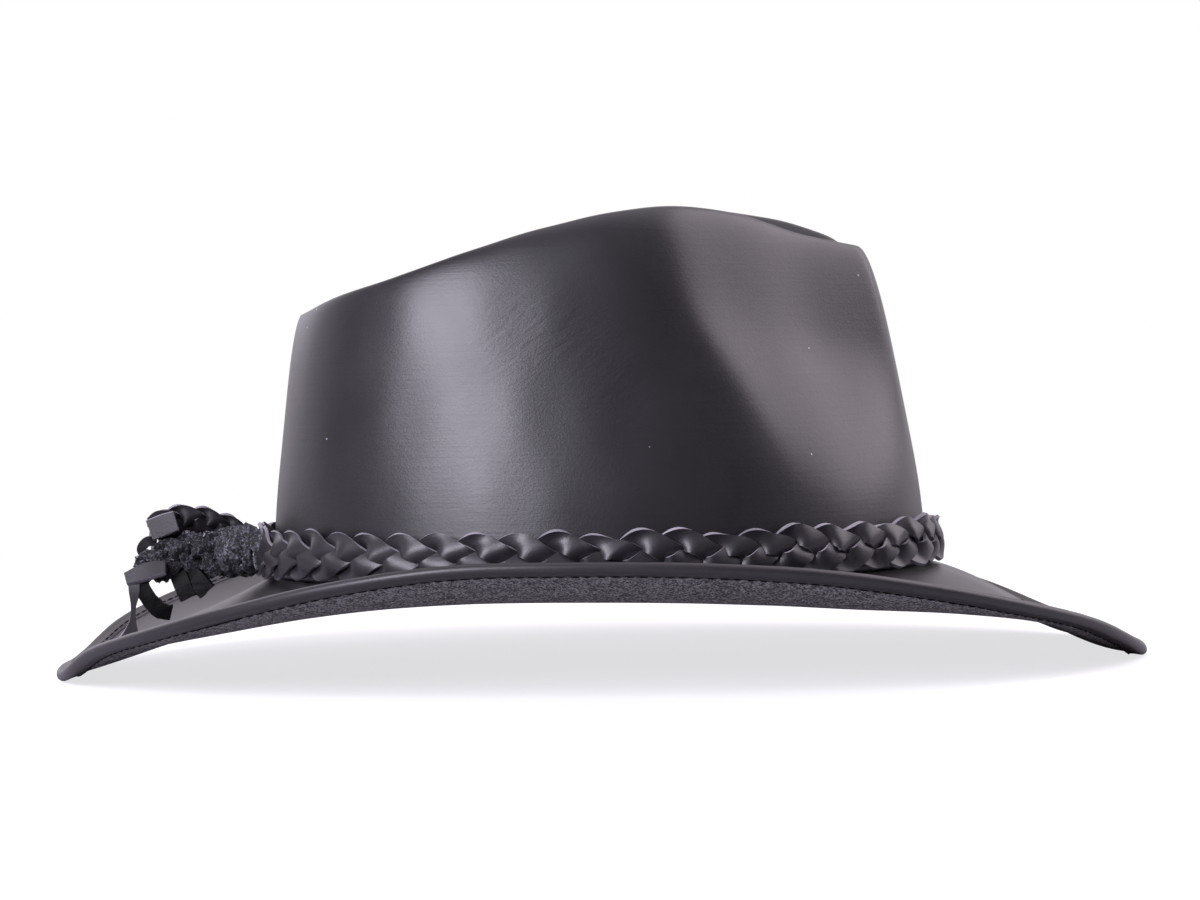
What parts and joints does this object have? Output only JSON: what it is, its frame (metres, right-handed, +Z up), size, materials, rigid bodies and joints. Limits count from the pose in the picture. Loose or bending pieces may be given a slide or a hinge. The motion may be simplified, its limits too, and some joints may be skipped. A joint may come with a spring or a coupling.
{
  "type": "leather hat",
  "caption": "Black leather hat with a creased and pinched crown, a curled brim with a stitched folded edge, and a plaited leather hatband with a knot and two tails.",
  "frame": {"origin": "middle of the hat's length and width, on the surface that it stands on", "axes": "+X towards the front of the hat, along its length; +Z up through the crown"},
  "size_m": [0.3466, 0.3046, 0.1469],
  "materials": {
    "crown_leather": "smooth black grain leather with a soft satin shine",
    "brim_leather": "smooth black leather on top, speckled dark grey suede underneath",
    "binding_leather": "smooth black leather strip, folded and stitched",
    "plait_leather": "black leather strip with lighter cut edges",
    "suede_leather": "rough black suede"
  },
  "bodies": {
    "root": {"crown": "crown_leather", "brim": "brim_leather", "edge_binding": "binding_leather", "band_strand_1": "plait_leather", "band_strand_2": "plait_leather", "band_strand_3": "plait_leather", "band_knot": "suede_leather", "tail_upper": "plait_leather", "tail_lower": "suede_leather"}
  },
  "joints": []
}
